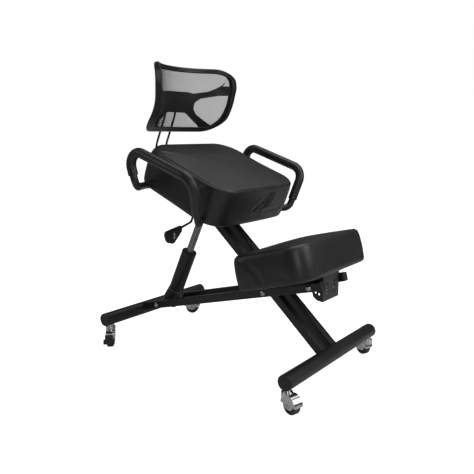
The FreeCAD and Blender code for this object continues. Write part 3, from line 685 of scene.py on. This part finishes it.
def stitchRow():
    # short rounded stitches at an even pitch along the guide
    tree, given, out = newTree("stitchRow", {
        "Pitch": ("NodeSocketFloat", 0.004), "Length": ("NodeSocketFloat", 0.003),
        "Thickness": ("NodeSocketFloat", 0.0004),
    })
    w = Wiring(tree)
    curve = w.add("GeometryNodeMeshToCurve")
    spaced = w.add("GeometryNodeResampleCurve", mode="LENGTH")
    ball = w.add("GeometryNodeMeshIcoSphere")
    ball.inputs["Subdivisions"].default_value = 1
    ball.inputs["Radius"].default_value = 1.0
    tangent = w.add("GeometryNodeInputTangent")
    turn = w.add("FunctionNodeAlignRotationToVector", axis="X")
    size = w.add("ShaderNodeCombineXYZ")
    place = w.add("GeometryNodeInstanceOnPoints")
    w.join(given.outputs["Geometry"], curve.inputs["Mesh"])
    w.join(curve.outputs[0], spaced.inputs["Curve"])
    w.join(given.outputs["Pitch"], spaced.inputs["Length"])
    half = w.math("MULTIPLY", given.outputs["Length"], 0.5)
    w.join(half, size.inputs["X"])
    w.join(given.outputs["Thickness"], size.inputs["Y"])
    w.join(given.outputs["Thickness"], size.inputs["Z"])
    w.join(tangent.outputs[0], turn.inputs["Vector"])
    w.join(spaced.outputs[0], place.inputs["Points"])
    w.join(ball.outputs["Mesh"], place.inputs["Instance"])
    w.join(turn.outputs[0], place.inputs["Rotation"])
    w.join(size.outputs[0], place.inputs["Scale"])
    closeTree(w, given, out, place.outputs[0])
    return tree


def grown(name, lines, closed, tree, values, material, body):
    # runs a tree on guide lines and keeps the result as a plain mesh
    points, edges = [], []
    for line in lines:
        start = len(points)
        points += line
        edges += [(start + i, start + i + 1) for i in range(len(line) - 1)]
        if closed:
            edges.append((start + len(line) - 1, start))
    item = newObject(name, meshFrom(name, points, [], edges))
    modifier = item.modifiers.new("grow", "NODES")
    modifier.node_group = tree
    for socket in tree.interface.items_tree:
        if socket.item_type != "SOCKET" or socket.in_out != "INPUT":
            continue
        if socket.name in values:
            modifier[socket.identifier] = values[socket.name]
        elif socket.name == "Material":
            modifier[socket.identifier] = material
    bakeModifiers(item)
    smoothAll(item.data)
    if not item.data.materials:
        item.data.materials.append(material)
    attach(item, body)
    return item


threadTree = sweptThread()
stitchTree = stitchRow()

seatSpec = {
    "name": "seatCushion",
    "length": 0.348, "halfWidth": 0.203, "height": 0.108, "skirt": 0.015, "recess": 0.011,
    "corners": [(0, -0.202), (0.348, -0.199), (0.348, 0.199), (0, 0.202)],
    "radii": [0.086, 0.074, 0.074, 0.086],
    "frontBow": 0.006, "waist": 0.003, "bulge": 0.002,
    "lowRadius": 0.012, "crestSide": 0.034, "crestFront": 0.013, "crestFrom": 0.45,
    "crown": 0.011, "voxel": 0.005,
    "stiffness": 6.0, "pressure": 3.0, "shrink": 0.004, "cap": 0.0035,
}
# folds where the cover is pulled round the front, in the seat's own frame
seatFolds = [
    ([(0.349, 0.042, 0.086), (0.349, 0.034, 0.062), (0.348, 0.022, 0.036)], 0.0045, 0.0022),
    ([(0.349, 0.060, 0.088), (0.349, 0.055, 0.066), (0.348, 0.040, 0.040)], 0.0035, 0.0018),
    ([(0.349, 0.022, 0.072), (0.349, -0.008, 0.050), (0.348, -0.028, 0.034)], 0.006, 0.0014),
    ([(0.345, 0.120, 0.030), (0.349, 0.076, 0.026), (0.349, 0.030, 0.028)], 0.006, 0.0014),
]

kneeSpec = {
    "name": "kneeCushion",
    "length": 0.234, "halfWidth": 0.193, "height": 0.092, "skirt": 0.010, "recess": 0.008,
    "corners": [(0, -0.192), (0.234, -0.190), (0.234, 0.190), (0, 0.192)],
    "radii": [0.026, 0.060, 0.060, 0.026],
    "frontBow": 0.004, "waist": 0.002, "bulge": 0.002,
    "lowRadius": 0.010, "crestSide": 0.022, "crestFront": 0.018, "crestFrom": 0.5,
    "crown": 0.008, "voxel": 0.005,
    "stiffness": 6.0, "pressure": 3.0, "shrink": 0.004, "cap": 0.003,
}
# the side of the knee pad draws in beside its near corner
kneeFolds = [
    ([(0.060, -0.193, 0.060), (0.084, -0.193, 0.030), (0.092, -0.193, 0.006)], 0.010, 0.0012),
]


def buildCushion(spec, folds, place, leather, body, node, stitchName):
    mesh, seamLine = cushionShell(spec)
    item = newObject(spec["name"], mesh)
    remeshed(item, spec["voxel"])
    seamTree = treeOf(seamLine)
    floor = -spec["skirt"] + spec["recess"] + cover["heldAbove"]

    def held(p):
        if p.z < floor:
            return 1.0
        return math.exp(-((seamTree.find(p)[2] / seam["grip"]) ** 2)) * seam["hold"]

    inflate(item, spec, held)
    subdivided(item, 1)
    onLine = onSurface(item, seamLine, 0.0)
    lines = [(onLine + onLine[:1], seam["width"], seam["depth"])]
    for line, width, depth in folds:
        lines.append((onSurface(item, [Vector(p) for p in line], 0.0), width, depth))
    pressLines(item, lines)
    drop = Vector((0, 0, seam["stitchDrop"]))
    stitches = onSurface(item, [p - drop for p in seamLine], seam["stitchLift"])
    settle(item, place, leather, body, node)
    grown(stitchName, [[place @ p for p in stitches]], True, stitchTree, seam["stitch"],
          seamThread, body)
    print(spec["name"], "built")


buildCushion(seatSpec, seatFolds, seatPlace, seatLeather, "seat_frame", "seat_cushion", "seatStitches")
buildCushion(kneeSpec, kneeFolds, kneePlace, kneeLeather, "knee_carrier", "knee_pad", "kneeStitches")


# backrest

panel = {
    "radius": 0.2, "x": -0.230, "z": 0.814, "reach": 0.11, "sweepBack": 0.042,
    "top": 0.915, "foot": 0.7075, "half": 0.1765,
    "rimWidth": 0.016, "rimSide": 0.009, "deep": 0.013, "wallSide": 0.015, "wallLow": 0.035,
    "supportFront": 0.0072, "supportBack": 0.0135, "supportEdge": 0.0012, "supportFacet": 0.012,
}
net = {"pitch": 0.0024, "thread": 0.0005, "sides": 4, "depth": 0.006, "hem": 0.7,
       "flat": (0.42, 0.2), "area": 0.08}
panelCorners = [(-0.160, 0.7075), (0.160, 0.7075), (0.1765, 0.850),
                (0.174, 0.915), (-0.174, 0.915), (-0.1765, 0.850)]
panelRadii = [0.058, 0.058, 0.07, 0.046, 0.046, 0.07]
# half of the moulded spider behind the net, from the middle of its top round to the middle of its foot
spiderHalf = [
    ((0.050, 0.837), 0.03), ((0.066, 0.8325), 0.02), ((0.121, 0.842), 0.05), ((0.152, 0.860), 0.04),
    ((0.169, 0.892), 0.012), ((0.172, 0.829), 0.008), ((0.139, 0.827), 0.05), ((0.090, 0.817), 0.02),
    ((0.070, 0.803), 0.012), ((0.068, 0.784), 0.012), ((0.080, 0.766), 0.012), ((0.132, 0.731), 0.02),
    ((0.150, 0.7165), 0.004), ((0.112, 0.7165), 0.004), ((0.098, 0.731), 0.012), ((0.044, 0.770), 0.02),
]


def fall(z):
    return max(0.0, panel["z"] - z) / panel["reach"]


def panelPoint(y, z, depth):
    wrap = panel["radius"] - math.sqrt(panel["radius"] ** 2 - y * y)
    return Vector((panel["x"] - panel["sweepBack"] * fall(z) ** 2 + wrap - depth, y, z))


def rimSection(wall):
    # (share of the width in from the outer edge, depth behind the face), once round the moulding
    face = [(1.0, 0.0035), (0.97, 0.0012), (0.9, 0.0), (0.66, -0.0004),
            (0.6, 0.0006), (0.54, 0.0006), (0.48, -0.0004)]
    corner = []
    for k in range(6):
        turn = math.radians(18 * k)
        corner.append((0.3 * (1 - math.sin(turn)), 0.0042 * (1 - math.cos(turn))))
    outer = [(0.0, 0.006 + (wall - 0.010) * k / 3) for k in range(4)]
    lip = [(0.04, wall - 0.0018), (0.14, wall - 0.0006), (0.3, wall - 0.0006), (0.4, wall - 0.002)]
    inside = [(0.42, wall - 0.004), (0.45, 0.0105), (0.6, 0.0092), (0.9, 0.0085), (1.0, 0.0065)]
    return face + corner + outer + lip + inside


def rimWidth(normal):
    return panel["rimWidth"] + (panel["rimSide"] - panel["rimWidth"]) * abs(normal.x) ** 2


def buildRim():
    points, normals = roundedOutline(panelCorners, panelRadii, 0.004)
    verts, faces = [], []
    for p, n in zip(points, normals):
        width = rimWidth(n)
        reach = (abs(p.x) / panel["half"]) ** 3
        wall = panel["deep"] + reach * (panel["wallSide"] + panel["wallLow"] * fall(p.y) ** 2)
        for share, depth in rimSection(wall):
            q = p - n * width * share
            verts.append(panelPoint(q.x, q.y, depth))
    count = len(points)
    size = len(verts) // count
    for i in range(count):
        j = (i + 1) % count
        for k in range(size):
            m = (k + 1) % size
            faces.append((i * size + k, i * size + m, j * size + m, j * size + k))
    mesh = meshFrom("backRim", verts, faces)
    outwards(mesh)
    smoothAll(mesh)
    item = newObject("backRim", mesh)
    mesh.materials.append(rimPlastic)
    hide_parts("back_rim")
    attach(item, "backrest")
    print("backrest rim built")


def buildSpider():
    left = [corner for corner, radius in spiderHalf]
    radii = [radius for corner, radius in spiderHalf]
    corners = left + [(-y, z) for y, z in reversed(left)]
    points, normals = roundedOutline(corners, radii + radii[::-1], 0.003)
    work = bmesh.new()
    ring = [work.verts.new((p.x, p.y, 0)) for p in points]
    edges = [work.edges.new((ring[i - 1], ring[i])) for i in range(len(ring))]
    bmesh.ops.triangle_fill(work, edges=edges, use_beauty=True)
    for _ in range(4):
        long = [e for e in work.edges if e.calc_length() > panel["supportFacet"]]
        if long:
            bmesh.ops.subdivide_edges(work, edges=long, cuts=1)
            bmesh.ops.triangulate(work, faces=work.faces)
    index = {v: i for i, v in enumerate(work.verts)}
    total = len(index)
    verts = [panelPoint(v.co.x, v.co.y, panel["supportFront"]) for v in work.verts]
    verts += [panelPoint(v.co.x, v.co.y, panel["supportBack"]) for v in work.verts]
    faces = []
    for face in work.faces:
        ids = [index[v] for v in face.verts]
        faces.append(ids)
        faces.append([i + total for i in reversed(ids)])
    for edge in work.edges:
        if edge.is_boundary:
            a, b = (index[v] for v in edge.verts)
            faces.append((a, b, b + total, a + total))
    work.free()
    mesh = meshFrom("backSpider", verts, faces)
    outwards(mesh)
    item = newObject("backSpider", mesh)
    edge = item.modifiers.new("edge", "BEVEL")
    edge.width = panel["supportEdge"]
    edge.segments = 3
    edge.limit_method = "ANGLE"
    edge.angle_limit = math.radians(50)
    bakeModifiers(item)
    smoothAll(item.data)
    item.data.materials.append(rimPlastic)
    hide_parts("back_support")
    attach(item, "backrest")
    print("backrest spider built")


def spanOf(points, axis, value):
    # where a level line crosses the closed outline: its two ends on the other axis
    other = 1 - axis
    found = []
    for a, b in zip(points, points[1:] + points[:1]):
        if (a[axis] - value) * (b[axis] - value) < 0:
            part = (value - a[axis]) / (b[axis] - a[axis])
            found.append(a[other] + (b[other] - a[other]) * part)
    return (min(found), max(found)) if len(found) > 1 else None


def buildNet():
    points, normals = roundedOutline(panelCorners, panelRadii, 0.004)
    hem = [p - n * rimWidth(n) * net["hem"] for p, n in zip(points, normals)]
    lines = []
    radius, pitch, depth = panel["radius"], net["pitch"], net["depth"]
    for r in range(1, round((panel["top"] - panel["foot"]) / pitch)):
        z = panel["foot"] + r * pitch
        span = spanOf(hem, 1, z)
        if span:
            arc = [math.asin(y / radius) for y in span]
            turns = [arc[0] + (arc[1] - arc[0]) * k / 60 for k in range(61)]
            lines.append([panelPoint(radius * math.sin(turn), z, depth) for turn in turns])
    most = round(radius * math.asin(panel["half"] / radius) / pitch)
    for c in range(-most, most + 1):
        y = radius * math.sin(c * pitch / radius)
        span = spanOf(hem, 0, y)
        if span:
            lines.append([panelPoint(y, span[0] + (span[1] - span[0]) * k / 50, depth) for k in range(51)])
    item = grown("backNet", lines, False, threadTree, {"Radius": net["thread"], "Sides": net["sides"]},
                 netThread, "backrest")
    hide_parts("back_mesh")
    print("net built")


buildRim()
buildSpider()
buildNet()


# weld beads where the rails and beams meet their round tubes

welds = {
    "pitch": 0.0021, "length": 0.0046, "thickness": 0.0017,
    "front": {"slope": -0.876, "height": 0.3904, "depth": 0.026, "inner": 0.016, "width": 0.025,
              "tube": (0.360, 0.081), "side": -1, "body": "seat_frame"},
    "rear": {"slope": 0.274, "height": 0.19675, "depth": 0.025, "inner": 0.052, "width": 0.025,
             "tube": (-0.360, 0.092), "side": 1, "body": "knee_frame"},
    "tubeRadius": 0.0215,
}


def weldLoop(end, mirror):
    # the line round one bar where its skin meets the round tube
    spec = welds[end]
    angle = math.atan(spec["slope"])
    along = Vector((math.cos(angle), math.sin(angle)))
    square = Vector((-math.sin(angle), math.cos(angle)))
    half = spec["depth"] / 2
    corners = [(spec["inner"], -half), (spec["inner"] + spec["width"], -half),
               (spec["inner"] + spec["width"], half), (spec["inner"], half)]
    section, _ = roundedOutline(corners, [0.003] * 4, 0.002)
    loop = []
    for p in section:
        base = Vector((0, spec["height"])) + square * p.y - Vector(spec["tube"])
        middle = -base.dot(along)
        inside = welds["tubeRadius"] ** 2 - (base + along * middle).length_squared
        spot = base + along * (middle + spec["side"] * math.sqrt(max(inside, 0))) + Vector(spec["tube"])
        loop.append(Vector((spot.x, p.x * mirror, spot.y)))
    return loop


def buildWelds():
    for end in ("front", "rear"):
        for mirror, label in ((1, "Left"), (-1, "Right")):
            grown(end + "Weld" + label, [weldLoop(end, mirror)], True, stitchTree,
                  {"Pitch": welds["pitch"], "Length": welds["length"], "Thickness": welds["thickness"]},
                  framePaint, welds[end]["body"])
    print("welds built")


buildWelds()


# lever mark: a plain double-headed arrow on the paddle's two faces

mark = {"inboard": 0.036, "lower": 0.002, "lift": 0.0001, "thick": 0.00025,
        "tip": 0.011, "neck": 0.004, "head": 0.006, "shaft": 0.0022}


def buildMark():
    low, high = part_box("lever_paddle")
    centre = [(a + b) / 2 for a, b in zip(low, high)]
    middle = Vector((centre[0], low[1] + mark["inboard"], centre[2] - mark["lower"]))
    half = (high[0] - low[0]) / 2 + mark["lift"]
    tip, neck, head, shaft = (mark[key] for key in ("tip", "neck", "head", "shaft"))
    right = [(head, neck), (shaft, neck), (shaft, -neck), (head, -neck)]
    shape = [(0, tip)] + right + [(0, -tip)] + [(-y, z) for y, z in reversed(right)]
    verts, faces = [], []
    for side in (-1, 1):
        for thick in (0, mark["thick"]):
            start = len(verts)
            verts += [middle + Vector((side * (half + thick), y * side, z)) for y, z in shape]
        count = len(shape)
        outer = list(range(start, start + count))
        inner = [k - count for k in outer]
        for ring, flip in ((outer, False), (inner, True)):
            body = [ring[k] for k in (2, 8, 7, 3)]
            heads = [[ring[k] for k in (0, 9, 8, 2, 1)], [ring[k] for k in (5, 4, 3, 7, 6)]]
            for piece in [body] + heads:
                faces.append(tuple(piece[::-1] if flip else piece))
        for k in range(count):
            m = (k + 1) % count
            faces.append((inner[k], inner[m], outer[m], outer[k]))
    mesh = meshFrom("leverMark", verts, faces)
    outwards(mesh)
    item = newObject("leverMark", mesh)
    mesh.materials.append(markInk)
    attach(item, "lever")


buildMark()


# floor, light and camera

studio = {
    "floor": (0.6, 0.6, 0.6, 1), "floorReach": 60, "floorSeen": 1.0, "floorGlow": 0.06,
    "worldSeen": 1.0, "worldLight": 0.1,
    "lens": 42.09, "pitch": 10.53, "azimuth": 38.23, "camera": (1.0754, -1.3489, 0.700),
    # name: place, aim, size, watts
    "lights": {
        "topBox": ((0.3, 0.4, 2.6), (0, 0, 0.4), (2.4, 2.4), 34),
        "rightBox": ((2.3, 0.7, 1.7), (0, 0, 0.5), (1.6, 1.6), 22),
        "cameraStrip": ((1.7, -1.5, 1.2), (0.1, 0, 0.4), (0.35, 1.2), 7),
        "leftBox": ((-1.6, -1.8, 1.6), (0, 0, 0.5), (1.0, 1.4), 5),
    },
}


def buildFloor():
    reach = studio["floorReach"]
    corners = [(-reach, -reach, 0), (reach, -reach, 0), (reach, reach, 0), (-reach, reach, 0)]
    item = newObject("floor", meshFrom("floor", corners, [(0, 1, 2, 3)]))
    material = bpy.data.materials.new("paleFloor")
    material.use_nodes = True
    w = Wiring(material.node_tree)
    shader = material.node_tree.nodes["Principled BSDF"]
    place = w.add("ShaderNodeTexCoord").outputs["Object"]
    slow = w.noise(3, 2, place)
    w.join(w.spread(slow, 0, 1, 0.7, 0.8), shader.inputs["Roughness"])
    shader.inputs["Base Color"].default_value = studio["floor"]
    shader.inputs["Specular IOR Level"].default_value = 0.2
    shader.inputs["Emission Color"].default_value = (1, 1, 1, 1)
    seen = w.add("ShaderNodeLightPath").outputs["Is Camera Ray"]
    w.join(w.spread(seen, 0, 1, studio["floorGlow"], studio["floorSeen"]), shader.inputs["Emission Strength"])
    item.data.materials.append(material)


def softLight(name, place, aim, size, power):
    lamp = bpy.data.lights.new(name, "AREA")
    lamp.shape = "RECTANGLE"
    lamp.size, lamp.size_y = size
    lamp.energy = power
    item = bpy.data.objects.new(name, lamp)
    item.location = place
    item.rotation_euler = (Vector(aim) - Vector(place)).to_track_quat("-Z", "Y").to_euler()
    scene.collection.objects.link(item)


def buildStudio():
    world = bpy.data.worlds.new("studio")
    world.use_nodes = True
    scene.world = world
    w = Wiring(world.node_tree)
    back = world.node_tree.nodes["Background"]
    seen = w.add("ShaderNodeLightPath").outputs["Is Camera Ray"]
    back.inputs["Color"].default_value = (1, 1, 1, 1)
    w.join(w.spread(seen, 0, 1, studio["worldLight"], studio["worldSeen"]), back.inputs["Strength"])
    for name, (place, aim, size, power) in studio["lights"].items():
        softLight(name, place, aim, size, power)
    view = bpy.data.cameras.new("camera")
    view.lens = studio["lens"]
    view.sensor_width = 36
    eye = bpy.data.objects.new("camera", view)
    eye.location = studio["camera"]
    eye.rotation_euler = (math.radians(90 - studio["pitch"]), 0, math.radians(studio["azimuth"]))
    scene.collection.objects.link(eye)
    scene.camera = eye
    scene.view_settings.view_transform = "Standard"


buildFloor()
buildStudio()
print("studio ready")
